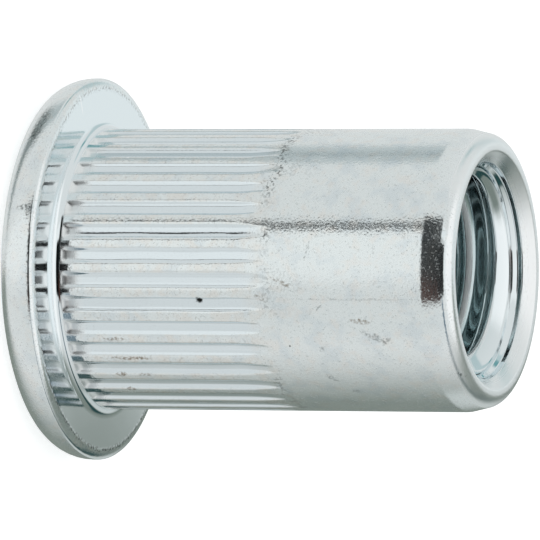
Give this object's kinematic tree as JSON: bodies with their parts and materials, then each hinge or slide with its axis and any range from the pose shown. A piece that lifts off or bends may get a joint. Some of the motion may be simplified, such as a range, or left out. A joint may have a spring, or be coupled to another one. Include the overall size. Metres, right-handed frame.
{
  "type": "rivet nut",
  "caption": "Flat head rivet nut: a splined tubular steel fastener that is set into a hole in sheet and leaves an M8 internal thread.",
  "frame": {"origin": "centre of the head's flat outer face", "axes": "+Z along the axis, from the head to the open threaded tail; one of the spline lands is centred on +X"},
  "size_m": [0.015, 0.015, 0.018],
  "materials": {
    "zinc_plated_steel": "bright zinc plate with a pale blue passivate: matte and finely scuffed on the body, the lands and the rim, bright in the pressed grooves, under the head, at the tail's lip and in the thread"
  },
  "bodies": {
    "root": {"rivet_nut": "zinc_plated_steel"}
  },
  "joints": []
}
